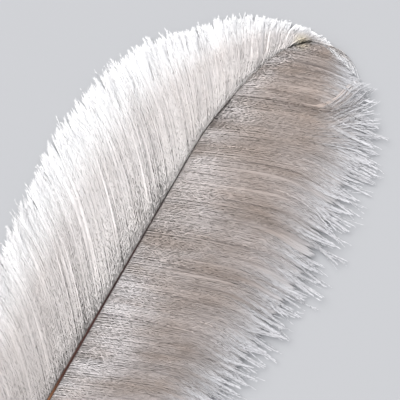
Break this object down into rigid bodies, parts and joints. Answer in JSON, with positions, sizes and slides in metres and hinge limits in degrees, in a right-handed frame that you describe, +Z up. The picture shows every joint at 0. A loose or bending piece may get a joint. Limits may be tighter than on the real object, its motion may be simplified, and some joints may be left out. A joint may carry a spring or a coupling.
{
  "type": "ostrich feather",
  "caption": "White ostrich plume with a dark brown shaft, arched over the surface it lies on, with a bright forward vane, a wider spread vane of loose fluffy barbs and a drooping tip.",
  "frame": {"origin": "on the surface that the plume lies on, under the middle of its bounding box", "axes": "+X from the quill's end towards the plume's tip, +Y towards the bright forward vane, +Z up, away from the surface"},
  "size_m": [0.6464, 0.2741, 0.0312],
  "materials": {
    "quill_brown": "satin horn, amber at the quill, near black in the middle, thin grey-brown at the tip",
    "ivory_barbs": "soft matt down-like barbs, bright white",
    "warm_barbs": "soft matt down-like barbs, white with a warm taupe cast near the shaft"
  },
  "bodies": {
    "root": {"shaft": "quill_brown", "forward_vane": "ivory_barbs", "spread_vane": "warm_barbs"}
  },
  "joints": []
}
